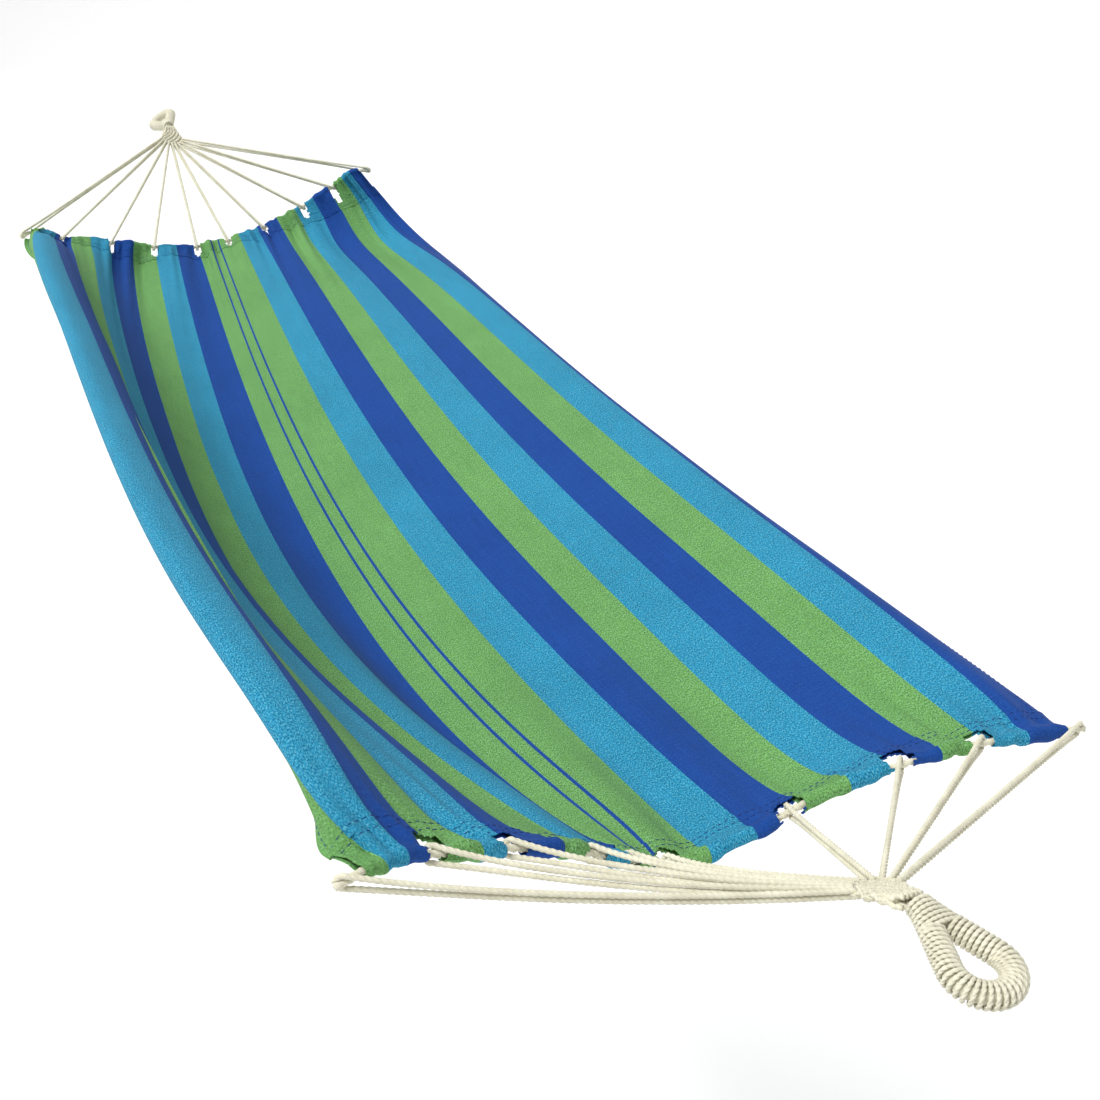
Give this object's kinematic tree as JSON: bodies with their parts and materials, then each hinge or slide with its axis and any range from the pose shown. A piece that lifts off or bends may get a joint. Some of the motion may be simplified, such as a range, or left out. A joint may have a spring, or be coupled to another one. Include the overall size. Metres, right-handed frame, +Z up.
{
  "type": "rope hammock",
  "caption": "Striped woven cotton hammock bed hung without spreader bars from end ropes, fans of doubled cords, woven clews and wrapped hanging loops.",
  "frame": {"origin": "the point where the foot loop bears on its hook, on the inside of the loop's crown", "axes": "+Y from the foot loop to the head loop, +Z up, +X to the right of someone who looks from the foot towards the head"},
  "size_m": [0.7785, 2.5519, 0.2944],
  "materials": {
    "striped_cotton": "matt plain-woven cotton in green, light blue and dark blue warp stripes",
    "thread": "matt dark blue sewing thread",
    "cotton_cord": "matt natural three-strand twisted cotton cord",
    "woven_cord": "matt natural cotton cord woven flat",
    "wrapped_cord": "matt natural cotton cord wrapped in close turns"
  },
  "bodies": {
    "loops": {"foot_loop_core": "wrapped_cord", "foot_loop_wrapping": "wrapped_cord", "head_loop_core": "wrapped_cord", "head_loop_wrapping": "wrapped_cord"},
    "bed": {"bed_cloth": "striped_cotton", "left_side_hem": "striped_cotton", "right_side_hem": "striped_cotton", "foot_hem": "striped_cotton", "head_hem": "striped_cotton", "left_side_stitching": "thread", "right_side_stitching": "thread", "foot_hem_stitching": "thread", "head_hem_stitching": "thread", "foot_end_rope": "cotton_cord", "head_end_rope": "cotton_cord", "foot_clew": "woven_cord", "head_clew": "woven_cord", "foot_cord_1": "cotton_cord", "foot_cord_2": "cotton_cord", "foot_cord_3": "cotton_cord", "foot_cord_4": "cotton_cord", "foot_cord_5": "cotton_cord", "foot_cord_6": "cotton_cord", "foot_cord_7": "cotton_cord", "foot_cord_8": "cotton_cord", "foot_cord_9": "cotton_cord", "foot_cord_10": "cotton_cord", "head_cord_1": "cotton_cord", "head_cord_2": "cotton_cord", "head_cord_3": "cotton_cord", "head_cord_4": "cotton_cord", "head_cord_5": "cotton_cord", "head_cord_6": "cotton_cord", "head_cord_7": "cotton_cord", "head_cord_8": "cotton_cord", "head_cord_9": "cotton_cord", "head_cord_10": "cotton_cord"}
  },
  "joints": [
    {"name": "swing", "type": "hinge", "parent": "loops", "child": "bed", "pos_m": [0, 0.0762, 0], "axis": [0, 1, 0], "range_deg": [-40, 40]}
  ]
}
